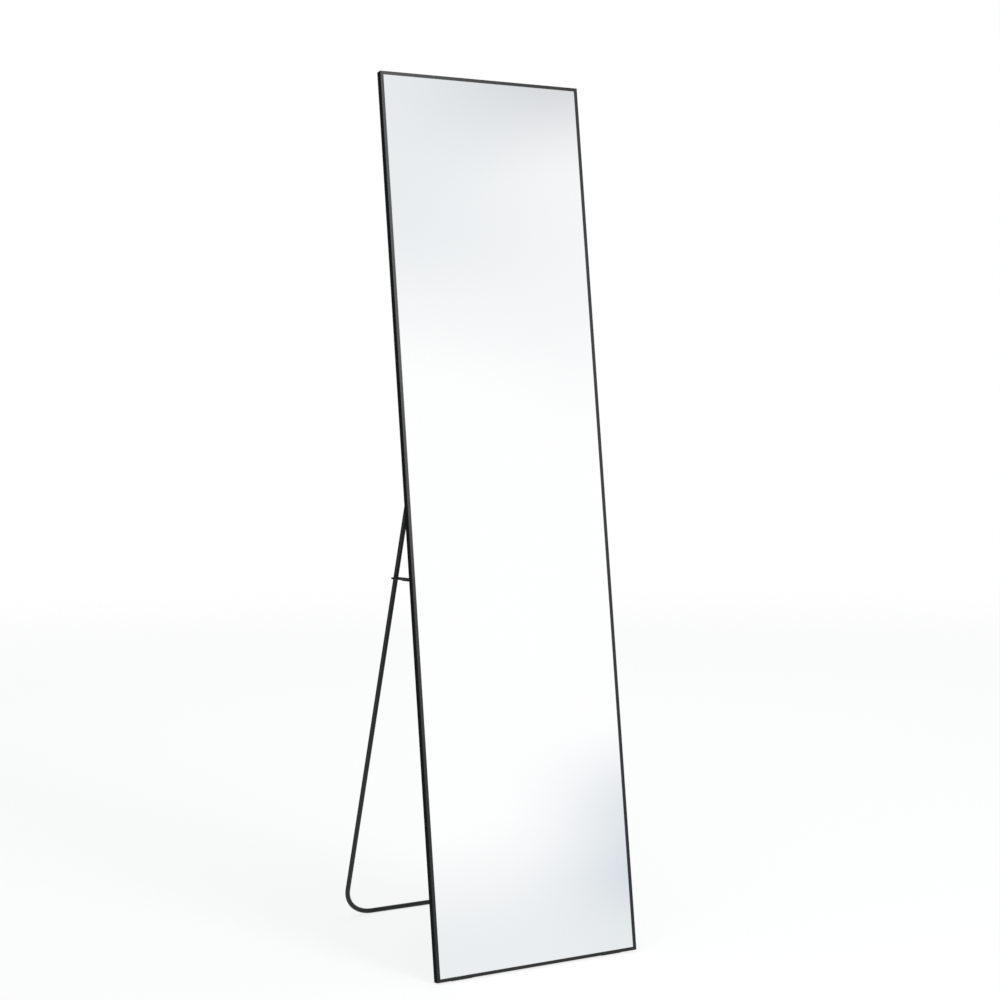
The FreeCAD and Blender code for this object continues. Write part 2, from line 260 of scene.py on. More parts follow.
@dataclass(frozen=True)
class Finish:
    """One surface finish: its plain values, and the variation that a subclass adds."""

    name: str
    colour: Colour
    roughness: float
    metallic: float = 0.0
    ior: float = 1.5

    def make(self) -> bpy.types.Material:
        """Builds the finish's material."""
        material = bpy.data.materials.new(self.name)
        material.use_nodes = True
        board = NodeBoard(material.node_tree)
        feeds = {"Base Color": self.colour, "Roughness": self.roughness,
                 "Metallic": self.metallic, "IOR": self.ior}
        shader = board.node("ShaderNodeBsdfPrincipled", feeds=feeds)
        board.node("ShaderNodeOutputMaterial", feeds={"Surface": shader.outputs[0]})
        for name, value in self.dress(board).items():
            board.feed(shader.inputs[name], value)
        return material

    def dress(self, board: NodeBoard) -> dict[str, object]:
        """What varies over the surface.

        Args:
            board: The material's node board.

        Returns:
            What feeds the shader, by the input's name; nothing for a plain finish.
        """
        return {}

    def shade(self, factor: float) -> Colour:
        """The finish's colour, lighter or darker by a factor."""
        return tuple(min(1.0, part * factor) for part in self.colour)


@dataclass(frozen=True)
class AnodisedProfile(Finish):
    """Satin black anodised extrusion, with faint die lines along each mitred member."""

    # The width of the outer edge band that gets the painted highlight and a lower roughness.
    edge: float = 0.9 * MM
    joint: float = 0.09 * MM

    def dress(self, board: NodeBoard) -> dict[str, object]:
        """Die lines, clouding, a painted highlight on the outer edges and dark mitre joints; see
        Finish.dress.
        """
        upright = LEAN.upright(board)
        across, back, up = board.split(upright)
        to_side = LEAN.half_width - abs(across)
        to_end = up.least(LEAN.height - up)
        on_rail = to_side.above(to_end)
        lines_up = board.noise(board.mapped(upright, (1500, 1500, 6)), 1, 3)
        lines_across = board.noise(board.mapped(upright, (6, 1500, 1500)), 1, 3)
        lines = lines_up + on_rail * (lines_across - lines_up)
        cloud = board.noise(upright, 14, 3)
        outer = to_side.least(to_end).ramp(self.edge, 0) * back.ramp(self.edge, 0)
        seam = abs(to_side - to_end).ramp(self.joint, 0)
        tone = cloud * 0.6 + lines * 0.4
        plain = board.blend(tone, self.shade(0.82), self.shade(1.18))
        # Painted highlight: the outer edges of the front face are painted lighter, as where a rounded
        # edge catches the light.
        edge_highlighted = board.blend(outer, plain, self.shade(1.9))
        rough = self.roughness + (lines - 0.5) * 0.16 + (cloud - 0.5) * 0.08 - outer * 0.06
        return {"Base Color": board.blend(seam * 0.85, edge_highlighted, self.shade(0.12)),
                "Roughness": rough + seam * 0.3,
                "Normal": board.bump(lines * 0.25 - seam, 0.05 * MM, 0.5)}


@dataclass(frozen=True)
class PowderCoat(Finish):
    """Baked powder paint with its fine orange peel."""

    peel: float = 950.0
    peel_depth: float = 0.03 * MM
    scuff_below: float = 2.5 * MM

    def dress(self, board: NodeBoard) -> dict[str, object]:
        """Peel, a soft change of tone and scuffs where the bar lies on the floor; see Finish.dress."""
        place = board.place()
        up = board.split(place)[2]
        tone = board.noise(place, 45, 3)
        grain = board.noise(place, self.peel, 2)
        speck = board.noise(place, 2600, 1).ramp(0.66, 0.8)
        scuff = up.ramp(self.scuff_below, 0) * board.noise(place, 240, 4).smooth(0.42, 0.62)
        plain = board.blend(tone, self.shade(0.8), self.shade(1.25))
        specked = board.blend(speck * 0.35, plain, self.shade(2.2))
        rough = self.roughness + (tone - 0.5) * 0.14 + (grain - 0.5) * 0.1 + scuff * 0.2
        return {"Base Color": board.blend(scuff * 0.6, specked, self.shade(4)),
                "Roughness": rough, "Normal": board.bump(grain, self.peel_depth, 0.6)}


@dataclass(frozen=True)
class SilveredGlass(Finish):
    """Float glass silvered on its back, seen as one bright surface."""

    edge: Colour = (0.42, 0.62, 0.55)

    def dress(self, board: NodeBoard) -> dict[str, object]:
        """The green ground edge and the faint haze of wiping on the face; see Finish.dress."""
        upright = LEAN.upright(board)
        across, back, up = board.split(upright)
        ground = LEAN.from_edge(across, up, LEAN.height).ramp(0.8 * MM, 0.3 * MM)
        haze = board.noise(board.mapped(upright, (5, 5, 2.2)), 1, 4)
        wipe = board.noise(board.mapped(upright, (60, 60, 9)), 1, 5).smooth(0.5, 0.8)
        film = board.blend(haze, self.colour, self.shade(0.993))
        return {"Base Color": board.blend(ground, film, self.edge),
                "Roughness": self.roughness + wipe * 0.006 + ground * 0.45,
                "Metallic": 1 - ground * 0.8}


@dataclass(frozen=True)
class FacedBoard(Finish):
    """Thin hard fibreboard with a black melamine face."""

    fibre: Colour = (0.19, 0.12, 0.07)

    def dress(self, board: NodeBoard) -> dict[str, object]:
        """A pebbled press texture, brown cut edges and light scratches; see Finish.dress."""
        upright = LEAN.upright(board)
        across, back, up = board.split(upright)
        cut = LEAN.from_edge(across, up, LEAN.height - LEAN.margin).ramp(0.5 * MM, 0.1 * MM)
        pebble = board.cells(upright, 900)
        tone = board.noise(upright, 9, 4)
        scratch = board.noise(board.mapped(upright, (420, 420, 14)), 1, 4).smooth(0.66, 0.78)
        face = board.blend(tone, self.shade(0.78), self.shade(1.2))
        marked = board.blend(scratch * 0.35, face, self.shade(2.4))
        rough = self.roughness + (tone - 0.5) * 0.15 + (pebble - 0.5) * 0.12 + cut * 0.25
        return {"Base Color": board.blend(cut, marked, self.fibre),
                "Roughness": rough, "Normal": board.bump(pebble, 0.05 * MM, 0.45)}


@dataclass(frozen=True)
class PlatedSteel(Finish):
    """Zinc plated steel, bright or blackened, with its crystal mottle."""

    spangle: float = 420.0
    contrast: float = 0.22

    def dress(self, board: NodeBoard) -> dict[str, object]:
        """Crystal mottle and fine rolling lines; see Finish.dress."""
        place = board.place()
        crystal = board.cells(place, self.spangle, "SMOOTH_F1").ramp(0.1, 0.8)
        rolling = board.noise(board.mapped(place, (2200, 160, 160)), 1, 2)
        tone = crystal * 0.6 + rolling * 0.4
        low, high = self.shade(1 - self.contrast), self.shade(1 + self.contrast)
        return {"Base Color": board.blend(tone, low, high),
                "Roughness": self.roughness + (tone - 0.5) * 0.2,
                "Normal": board.bump(rolling, 0.02 * MM, 0.4)}


@dataclass(frozen=True)
class FoamTape(Finish):
    """Closed-cell foam, cut from a roll."""

    cell: float = 1300.0

    def dress(self, board: NodeBoard) -> dict[str, object]:
        """The open cells of the cut faces; see Finish.dress."""
        place = board.place()
        cell = board.cells(place, self.cell)
        tone = cell * 0.7 + board.noise(place, 80, 2) * 0.3
        return {"Base Color": board.blend(tone, self.shade(0.72), self.shade(1.05)),
                "Roughness": self.roughness + (cell - 0.5) * 0.1,
                "Normal": board.bump(cell, 0.15 * MM, 0.8)}


@dataclass(frozen=True)
class MouldedRubber(Finish):
    """Matt black rubber with the mould's fine texture and a little floor dust."""

    dust: Colour = (0.12, 0.115, 0.105)

    def dress(self, board: NodeBoard) -> dict[str, object]:
        """The mould's texture, and dust low down; see Finish.dress."""
        place = board.place()
        up = board.split(place)[2]
        grain = board.noise(place, 2400, 2)
        dusty = up.ramp(1.2 * MM, 0) * board.noise(place, 500, 3).smooth(0.45, 0.7)
        plain = board.blend(grain, self.shade(0.8), self.shade(1.3))
        return {"Base Color": board.blend(dusty * 0.5, plain, self.dust),
                "Roughness": self.roughness + (grain - 0.5) * 0.12,
                "Normal": board.bump(grain, 0.03 * MM, 0.5)}


class Slot(Enum):
    """The record's material slots, each with its finish."""

    FRAME = AnodisedProfile("frame_aluminium", (0.007, 0.007, 0.0073), 0.33, ior=1.4)
    GLASS = SilveredGlass("mirror_glass", (0.995, 0.998, 1.0), 0.012, metallic=1.0)
    BOARD = FacedBoard("backing_board", (0.040, 0.040, 0.041), 0.6)
    FOAM = FoamTape("foam_tape", (0.78, 0.78, 0.76), 0.9)
    ZINC = PlatedSteel("zinc_steel", (0.55, 0.56, 0.57), 0.42, metallic=1.0)
    FASTENER = PlatedSteel("black_fasteners", (0.055, 0.055, 0.058), 0.4, metallic=0.7, spangle=900)
    BRACKET = PowderCoat("bracket_steel", (0.026, 0.026, 0.027), 0.46)
    STAND = PowderCoat("stand_steel", (0.0075, 0.0075, 0.0078), 0.44, ior=1.44)
    STAY = PowderCoat("stay_wire", (0.009, 0.009, 0.0093), 0.42, ior=1.44)
    PAD = MouldedRubber("pad_rubber", (0.024, 0.024, 0.024), 0.86)

    @property
    def label(self) -> str:
        """The slot's name in the record."""
        return self.value.name


@dataclass
class Wardrobe:
    """Keeps one material for each slot and puts it on pieces."""

    made: dict[Slot, bpy.types.Material] = field(default_factory=dict)

    def dress(self, piece: bpy.types.Object, slot: Slot) -> None:
        """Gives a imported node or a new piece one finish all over."""
        if slot not in self.made:
            self.made[slot] = slot.value.make()
        piece.data.materials.clear()
        piece.data.materials.append(self.made[slot])

    def fit(self, piece: bpy.types.Object, slot: Slot, body: str, node: str) -> None:
        """Dresses a new piece and puts it on a body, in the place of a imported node."""
        self.dress(piece, slot)
        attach(piece, body)
        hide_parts(node)
        log.info("%s: %d faces, in place of %s", piece.name, len(piece.data.polygons), node)


# --- modelling ---


class Workpiece:
    """A new mesh in the making, shaped with edit-mode operators and finished at the origin."""

    def __init__(self, name: str, primitive: Callable, **settings: object) -> None:
        """Adds a primitive as the start of a piece, and enters edit mode.

        Args:
            name: The piece's name.
            primitive: The operator that adds it.
            settings: The operator's settings.
        """
        self.clear()
        primitive(**settings)
        self.body = bpy.context.object
        self.body.name = self.body.data.name = name
        bpy.ops.object.transform_apply(location=True, rotation=True, scale=True)
        bpy.ops.object.mode_set(mode="EDIT")

    @staticmethod
    def clear() -> None:
        """Leaves nothing selected before a new primitive is added."""
        bpy.ops.object.select_all(action="DESELECT")

    def close_up(self) -> None:
        """Joins doubled points, closes open ends and turns all faces outwards."""
        bpy.ops.mesh.select_mode(type="VERT")
        bpy.ops.mesh.select_all(action="SELECT")
        bpy.ops.mesh.remove_doubles(threshold=TINY)
        bpy.ops.mesh.fill_holes(sides=0)
        bpy.ops.mesh.normals_make_consistent(inside=False)

    def soften(self, width: float, steps: int, sharper_than: float = 60) -> None:
        """Rounds the edges that turn by more than an angle in degrees."""
        bpy.ops.mesh.select_mode(type="EDGE")
        bpy.ops.mesh.select_all(action="DESELECT")
        bpy.ops.mesh.edges_select_sharp(sharpness=math.radians(sharper_than))
        self.round_off(width, steps)

    @staticmethod
    def round_off(width: float, steps: int) -> None:
        """Bevels the selected edges to a width, in round steps."""
        bpy.ops.mesh.bevel(offset=width, segments=steps, affect="EDGES", profile=0.5)

    def pick(self, kind: str, test: Callable[[Vector, Vector], bool]) -> None:
        """Selects the points, edges or faces that pass a test.

        Args:
            kind: "VERT", "EDGE" or "FACE".
            test: Takes a middle and a direction, and says whether that one is selected. The
                direction is the normal of a point or face, and an edge's own direction.
        """
        bpy.ops.mesh.select_mode(type=kind)
        bpy.ops.mesh.select_all(action="DESELECT")
        mesh = bmesh.from_edit_mesh(self.body.data)
        if kind == "VERT":
            places = [(point, point.co, point.normal) for point in mesh.verts]
        elif kind == "EDGE":
            places = [(edge, (edge.verts[0].co + edge.verts[1].co) / 2,
                       (edge.verts[1].co - edge.verts[0].co).normalized()) for edge in mesh.edges]
        else:
            places = [(face, face.calc_center_median(), face.normal) for face in mesh.faces]
        for item, middle, direction in places:
            if test(middle, direction):
                item.select_set(True)
        mesh.select_flush_mode()
        bmesh.update_edit_mesh(self.body.data)

    @staticmethod
    def draw_out(*steps: tuple[float, float, float]) -> None:
        """Extrudes what is selected along each step in turn."""
        for step in steps:
            bpy.ops.mesh.extrude_region_move(TRANSFORM_OT_translate={"value": step})

    @staticmethod
    def stretch(across: float, along: float, up: float) -> None:
        """Scales what is selected along each axis, about the origin."""
        bpy.ops.transform.resize(value=(across, along, up), center_override=(0, 0, 0))

    def modify(self, kind: str, **settings: object) -> None:
        """Puts a modifier on the piece and applies it, outside edit mode."""
        bpy.ops.object.mode_set(mode="OBJECT")
        modifier = self.body.modifiers.new(kind.lower(), kind)
        for name, value in settings.items():
            setattr(modifier, name, value)
        bpy.context.view_layer.objects.active = self.body
        bpy.ops.object.modifier_apply(modifier=modifier.name)

    def break_edges(self, width: float) -> None:
        """Takes the sharpness off the edges that turn by 50 degrees or more."""
        self.modify("BEVEL", width=width, segments=2, limit_method="ANGLE",
                    angle_limit=math.radians(50))

    def carve(self, cutter: "Workpiece") -> None:
        """Cuts another piece out of this one and throws that piece away."""
        self.modify("BOOLEAN", operation="DIFFERENCE", object=cutter.body, solver="EXACT")
        bpy.data.objects.remove(cutter.body)
        self.body.select_set(True)

    def finish(self, smooth_below: float = 40, turn: Matrix | None = None) -> bpy.types.Object:
        """Leaves edit mode, shades smooth below a turn in degrees, and moves the mesh to its place."""
        bpy.ops.object.mode_set(mode="OBJECT")
        bpy.ops.object.shade_smooth_by_angle(angle=math.radians(smooth_below))
        if turn is not None:
            self.body.data.transform(turn)
            self.body.data.update()
        return self.body


@dataclass(frozen=True)
class RoundBar:
    """A round bar bent along straight runs that tangent arcs join."""

    name: str
    radius: float
    sides: int = 28
    end_bevel: float = 0.5 * MM
    bend_step: float = math.radians(7.5)
    least_steps: int = 8

    def bend(self, corners: list[Vector], radii: list[float]) -> bpy.types.Object:
        """Draws the bar out from its first end.

        Args:
            corners: The route's ends and the corners between them.
            radii: The centreline radius at each corner.

        Returns:
            The finished bar.
        """
        ahead = (corners[1] - corners[0]).normalized()
        work = Workpiece(self.name, bpy.ops.mesh.primitive_circle_add, vertices=self.sides,
                         radius=self.radius, location=corners[0],
                         rotation=ahead.to_track_quat("Z", "Y").to_euler())
        bpy.ops.mesh.select_all(action="SELECT")
        here = corners[0]
        for before, corner, after, radius in zip(corners, corners[1:], corners[2:], radii):
            here = self._turn(here, (corner - before).normalized(), corner, after, radius)
        bpy.ops.mesh.extrude_region_move(TRANSFORM_OT_translate={"value": corners[-1] - here})
        work.close_up()
        work.soften(self.end_bevel, 3)
        return work.finish()

    def _turn(self, here: Vector, ahead: Vector, corner: Vector, after: Vector, radius: float) -> Vector:
        """Extrudes the straight run before a corner, then spins the bend.

        Args:
            here: Where the bar's end is now.
            ahead: The run's direction.
            corner: The corner where the two runs would meet.
            after: The next corner.
            radius: The bend's radius.

        Returns:
            Where the bend ends.
        """
        leaving = (after - corner).normalized()
        angle = ahead.angle(leaving)
        reach = radius * math.tan(angle / 2)
        start = corner - ahead * reach
        if (start - here).length > TINY:
            bpy.ops.mesh.extrude_region_move(TRANSFORM_OT_translate={"value": start - here})
        hinge = ahead.cross(leaving).normalized()
        centre = start + hinge.cross(ahead) * radius
        steps = max(self.least_steps, round(angle / self.bend_step))
        bpy.ops.mesh.spin(steps=steps, angle=-angle, center=centre, axis=hinge)
        return corner + leaving * reach


@dataclass(frozen=True)
class FoldedBracket:
    """Steel sheet with an ear folded up on each side, drawn with its bore at the origin.

    The board that it is screwed to lies in front of it, towards -Y.
    """

    half_width: float
    half_height: float
    ear_radius: float
    sheet: float
    bore: float
    corner: float
    pivot_rise: float = 8.3 * MM
    neck: float = 0.6 * MM
    edge: float = 0.25 * MM
    rim: float = 0.995  # of the ear's radius: how far its end is rounded
    fold_steps: int = 6
    rim_steps: int = 14
    corner_steps: int = 6

    def make(self, name: str) -> bpy.types.Object:
        """Folds up one bracket.

        Args:
            name: The piece's name.

        Returns:
            The bracket.
        """
        depth = self.pivot_rise + self.ear_radius
        work = Workpiece(name, bpy.ops.mesh.primitive_cube_add, size=2,
                         location=(0, depth / 2 - self.pivot_rise, 0),
                         scale=(self.half_width, depth / 2, self.ear_radius))
        fold = self.sheet * 1.5
        work.pick("EDGE", lambda place, along: (place.y < -self.pivot_rise * 0.9
                                                and abs(along.z) > ALONG))
        work.round_off(fold, self.fold_steps)
        work.pick("EDGE", lambda place, along: (place.y > self.ear_radius * 0.9
                                                and abs(along.x) > ALONG))
        work.round_off(self.ear_radius * self.rim, self.rim_steps)
        work.pick("FACE", lambda place, normal: abs(normal.x) < 0.01 and normal.y > -ALONG)
        bpy.ops.mesh.delete(type="FACE")
        for side in (-1, 1):
            self._draw_wing(work, side, self.half_width / (self.half_width - fold))
        work.modify("SOLIDIFY", thickness=self.sheet, offset=-1, use_even_offset=True)
        bpy.ops.object.mode_set(mode="EDIT")
        work.pick("EDGE", lambda place, along: (abs(along.y) > ALONG
                                                and abs(place.z) > self.half_height * 0.999))
        work.round_off(self.corner, self.corner_steps)
        work.break_edges(self.edge)
        drill = Workpiece("drill", bpy.ops.mesh.primitive_cylinder_add, vertices=56,
                          radius=self.bore, depth=self.half_width * 3,
                          rotation=(0, math.radians(90), 0))
        work.carve(drill)
        return work.finish()

    def _draw_wing(self, work: Workpiece, side: int, widen: float) -> None:
        """Draws the base out upwards (1) or downwards (-1), and widens it past the folds' notches."""
        floor = -self.pivot_rise
        work.pick("EDGE", lambda place, along: (abs(place.y - floor) < self.edge and abs(along.x) > 0.99
                                                and place.z * side > self.ear_radius * 0.98))
        work.draw_out((0, 0, side * self.neck), (0, 0, side * self.neck))
        work.stretch(widen, 1, 1)
        work.draw_out((0, 0, side * (self.half_height - self.ear_radius - 2 * self.neck)))


@dataclass(frozen=True)
class PanScrew:
    """A screw with a domed, cross-recessed head towards +Z, its seat at the origin."""

    radius: float
    height: float
    shank: float
    bite: float
    crown: float = 0.06  # of the height: how far the middle stands above the rim
    dome: float = 0.58  # of the height: the rim's rounding
    recess: tuple[float, float] = (0.14, 0.56)  # of the radius: half of a wing's width and length
    tip: float = 0.25  # of the bite: how long the point is
    point: float = 0.3  # of the shank: the point's width

    def make(self, name: str) -> bpy.types.Object:
        """Turns one screw and cuts its recess.

        Args:
            name: The piece's name.

        Returns:
            The screw.
        """
        work = Workpiece(name, bpy.ops.mesh.primitive_cylinder_add, vertices=36,
                         radius=self.radius, depth=self.height, location=(0, 0, self.height / 2))
        work.pick("FACE", lambda place, normal: normal.z > ALONG)
        bpy.ops.mesh.inset(thickness=self.radius * 0.5)
        work.pick("FACE", lambda place, normal: (normal.z > ALONG
                                                 and place.xy.length < self.radius * 0.1))
        bpy.ops.transform.translate(value=(0, 0, self.height * self.crown))
        work.pick("EDGE", lambda place, along: (abs(along.z) < 0.5 and place.z > self.height * 0.9
                                                and place.xy.length > self.radius * 0.9))
        work.round_off(self.height * self.dome, 5)
        work.pick("FACE", lambda place, normal: normal.z < -ALONG)
        bpy.ops.mesh.inset(thickness=self.radius - self.shank)
        work.draw_out((0, 0, -self.bite * (1 - self.tip)), (0, 0, -self.bite * self.tip))
        work.stretch(self.point, self.point, 1)
        bpy.ops.object.mode_set(mode="OBJECT")
        for turn in (0, 90):
            work.carve(self._wing(turn))
        return work.finish(smooth_below=32)

    def _wing(self, turn: float) -> Workpiece:
        """One of the recess's two crossed wings, turned by degrees and narrower at its foot."""
        half_width, half_length = self.recess
        size = Vector((self.radius * half_width, self.radius * half_length, self.height * 0.45))
        wing = Workpiece("recess_wing", bpy.ops.mesh.primitive_cube_add, size=2, scale=size,
                         location=(0, 0, self.height * 0.9), rotation=(0, 0, math.radians(turn)))
        wing.pick("FACE", lambda place, normal: normal.z < -ALONG)
        wing.stretch(0.5, 0.5, 1)
        return wing


@dataclass(frozen=True)
class PushRing:
    """A push-on ring: a dished rim with sprung teeth that bite on a rod along +Z."""

    bore: float
    radius: float
    height: float
    teeth: int = 6
    sheet: float = 0.4 * MM
    edge: float = 0.08 * MM
    rim_inside: float = 0.8  # of the radius: where the teeth start
    tooth_half: float = 0.36  # of the teeth's spacing: half of a tooth's width

    def make(self, name: str) -> bpy.types.Object:
        """Stamps one ring.

        Args:
            name: The piece's name.

        Returns:
            The ring, its open side towards +Z.
        """
        work = Workpiece(name, bpy.ops.mesh.primitive_circle_add, vertices=self.teeth * 8,
                         radius=self.radius)
        bpy.ops.mesh.select_all(action="SELECT")
        work.draw_out((0, 0, 0))
        waist = self.radius * self.rim_inside
        work.stretch(waist / self.radius, waist / self.radius, 1)
        gap = math.tau / self.teeth
        width = gap * self.tooth_half
        work.pick("EDGE", lambda place, along: (
            place.xy.length < waist * 1.01 and abs(along.dot(place)) < waist * 0.01
            and abs(math.atan2(place.y, place.x) % gap - gap / 2) < width))
        work.draw_out((0, 0, 0))
        work.stretch(self.bore / waist, self.bore / waist, 1)
        bpy.ops.transform.translate(value=(0, 0, self.height - 1.2 * self.sheet))
        work.pick("EDGE", lambda place, along: place.xy.length > self.radius * 0.99)
        work.draw_out((0, 0, self.height - self.sheet))
        bpy.ops.mesh.select_all(action="SELECT")
        bpy.ops.mesh.normals_make_consistent(inside=False)
        work.modify("SOLIDIFY", thickness=self.sheet, offset=0, use_even_offset=True)
        work.break_edges(self.edge)
        return work.finish()


@dataclass(frozen=True)
class WedgePad:
    """A thin rubber wedge under the bottom rail, drawn in upright coordinates."""

    near: float
    length: float
    front: float
    depth: float
    edge: float = 0.3 * MM
    block: float = 2 * MM  # the height of the block that it is shaped from
    clear: float = 0.01 * MM  # how far above the floor its underside stays

    def make(self, name: str, side: int) -> bpy.types.Object:
        """Moulds one pad.

        Args:
            name: The piece's name.
            side: -1 for the left pad and 1 for the right one.

        Returns:
            The pad in its place.
        """
        middle = side * (self.near + self.length / 2)
        half = self.block / 2
        work = Workpiece(name, bpy.ops.mesh.primitive_cube_add, size=2,
                         location=(middle, self.front + self.depth / 2, -half),
                         scale=(self.length / 2, self.depth / 2, half))
        for back in (self.front, self.front + self.depth):
            lift = self._floor_up(back) + self.block + self.clear
            work.pick("VERT", lambda place, normal: place.z < -half and abs(place.y - back) < half)
            bpy.ops.transform.translate(value=(0, 0, lift))
        work.soften(self.edge, 3, sharper_than=50)
        work.close_up()
        return work.finish(turn=LEAN.matrix())

    @staticmethod
    def _floor_up(back: float) -> float:
        """How far up the floor lies, in upright coordinates, at a distance from the front."""
        return (back * math.sin(LEAN.angle) - LEAN.corner.z) / math.cos(LEAN.angle)


def set_down(model: bpy.types.Object, name: str, places: list[Matrix]) -> bpy.types.Object:
    """Copies a model to its places and joins the copies, then throws the model away.

    Args:
        model: The model, at the origin.
        name: The joined piece's name.
        places: Where each copy goes.

    Returns:
        The joined piece.
    """
    Workpiece.clear()
    for place in places:
        copy = model.copy()
        copy.data = model.data.copy()
        copy.data.transform(place)
        bpy.context.collection.objects.link(copy)
        copy.select_set(True)
        bpy.context.view_layer.objects.active = copy
    if len(places) > 1:
        bpy.ops.object.join()
    piece = bpy.context.view_layer.objects.active
    piece.name = piece.data.name = name
    bpy.data.objects.remove(model)
    return piece


def screwed_in(base: Matrix, across: float, back: float, up: float, turn: float) -> Matrix:
    """Where a screw goes that was drawn with its head towards +Z.

    Args:
        base: Where the seat's three coordinates start.
        across: The seat's place along the mirror's width.
        back: Its place from front to back.
        up: Its place along the mirror's height.
        turn: The recess's direction, in degrees.

    Returns:
        The screw's place, its head towards the back.
    """
    seat = base @ Matrix.Translation((across, back, up)) @ Matrix.Rotation(math.radians(-90), 4, "X")
    return seat @ Matrix.Rotation(math.radians(turn), 4, "Z")


# --- the mirror's sub-assemblies ---


@dataclass
class MirrorPanel:
    """The mitred frame, the silvered pane and the board behind it."""

    wardrobe: Wardrobe
    finishes: dict[Slot, tuple[str, ...]] = field(default_factory=lambda: {
        Slot.FRAME: ("stile_left", "stile_right", "rail_top", "rail_bottom"),
        Slot.GLASS: ("mirror_glass",), Slot.BOARD: ("backing_board",), Slot.FOAM: ("cushion_tapes",),
        Slot.ZINC: ("spring_clips", *(f"corner_key_{end}_{side}" for end in ("bottom", "top")
                                      for side in SIDES))})
    screw: PanScrew = PanScrew(2.3 * MM, 1.1 * MM, 1.45 * MM, 2.6 * MM)
    screw_line: float = 4.1 * MM
    screw_places: tuple[float, float] = (12 * MM, 25 * MM)
    screw_turn: float = 37
    pad: WedgePad = WedgePad(near=130 * MM, length=40 * MM, front=7 * MM, depth=6 * MM)

    def build(self) -> None:
        """Dresses the panel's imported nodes, and adds its screws and pads."""
        for slot, names in self.finishes.items():
            for name in names:
                self.wardrobe.dress(frame["nodes"][name], slot)
                log.info("%s: packed mesh, finish %s", name, slot.label)
        screws = set_down(self.screw.make("corner_screw"), "corner_screw_set", self._screw_seats())
        self.wardrobe.fit(screws, Slot.FASTENER, "mirror", "corner_screws")
        for name, side in SIDES.items():
            pad = self.pad.make("rubber_wedge_" + name, side)
            self.wardrobe.fit(pad, Slot.PAD, "mirror", "wedge_pad_" + name)

    def _screw_seats(self) -> list[Matrix]:
        """Where the corner screws go: two in each leg of each corner key."""
        corner = [(self.screw_line, along) for along in self.screw_places]
        corner += [(along, self.screw_line) for along in self.screw_places]
        seats = []
        for side in SIDES.values():
            for inward, upward in corner:
                for up in (upward, LEAN.height - upward):
                    across = side * (LEAN.half_width - inward)
                    turn = self.screw_turn * len(seats)
                    seats.append(screwed_in(LEAN.matrix(), across, LEAN.depth, up, turn))
        return seats


@dataclass
class FoldingStand:
    """The U-shaped rod, its stop pins and its push-on rings."""

    wardrobe: Wardrobe
    rod_radius: float = 4.5 * MM
    leg_length: float = 968 * MM
    leg_x: float = 171 * MM
    end_x: float = 126.8 * MM
    floor_bend: float = 57 * MM
    hinge_bend: float = 16 * MM
    ring: PushRing = PushRing(bore=4.45 * MM, radius=7 * MM, height=1 * MM)
    ring_x: float = 130.4 * MM

    def build(self) -> None:
        """Bends the rod, and adds its push-on rings and stop pins."""
        rod = RoundBar("bent_rod", self.rod_radius, sides=32).bend(*self.route())
        self.wardrobe.fit(rod, Slot.STAND, "stand", "stand_rod")
        pivot = Vector(joint("stand_fold")["pos_m"])
        for name, side in SIDES.items():
            place = Matrix.Translation((side * self.ring_x, pivot.y, pivot.z))
            turn = Matrix.Rotation(-side * math.radians(90), 4, "Y")
            ring = set_down(self.ring.make("ring"), "toothed_ring_" + name, [place @ turn])
            self.wardrobe.fit(ring, Slot.FASTENER, "stand", "push_ring_" + name)
            self.wardrobe.dress(frame["nodes"]["stop_pin_" + name], Slot.FASTENER)

    def route(self) -> tuple[list[Vector], list[float]]:
        """The rod's route, from the left hinge pin down, across the floor and up again.

        Returns:
            Its corners, and the radius of the bend at each inner one.
        """
        fold = joint("stand_fold")
        slant = math.radians(fold["range_deg"][1]) - LEAN.angle
        top = Vector(fold["pos_m"])
        down = Vector((0, math.sin(slant), -math.cos(slant))) * self.leg_length
        side = Vector((self.leg_x, 0, 0))
        end = Vector((self.end_x, 0, 0))
        corners = [top - end, top - side, top + down - side, top + down + side, top + side, top + end]
        return corners, [self.hinge_bend, self.floor_bend, self.floor_bend, self.hinge_bend]


@dataclass
class BracketPair:
    """The left and right brackets of one kind, with their screws."""

    wardrobe: Wardrobe
    kind: str
    bracket: FoldedBracket
    middle_x: float
    seats: list[tuple[float, float]]
    screw: PanScrew = PanScrew(3.6 * MM, 1.9 * MM, 1.85 * MM, 6.2 * MM)

    def build(self, held: str) -> None:
        """Folds both brackets and screws them to the board.

        Args:
            held: The name of a joint whose line runs through both brackets' bores.
        """
        pivot = Vector(joint(held)["pos_m"])
        seat_back = self.bracket.sheet - self.bracket.pivot_rise
        for name, side in SIDES.items():
            base = LEAN.at(Vector((side * self.middle_x, pivot.y, pivot.z)))
            folded = set_down(self.bracket.make("bracket"), f"folded_{self.kind}_{name}", [base])
            self.wardrobe.fit(folded, Slot.BRACKET, "mirror", f"{self.kind}_bracket_{name}")
            places = [screwed_in(base, across, seat_back, up, 20 + 31 * index * side)
                      for index, (across, up) in enumerate(self.seats)]
            screws = set_down(self.screw.make("screw"), f"{self.kind}_screw_set_{name}", places)
            self.wardrobe.fit(screws, Slot.FASTENER, "mirror", f"{self.kind}_screws_{name}")


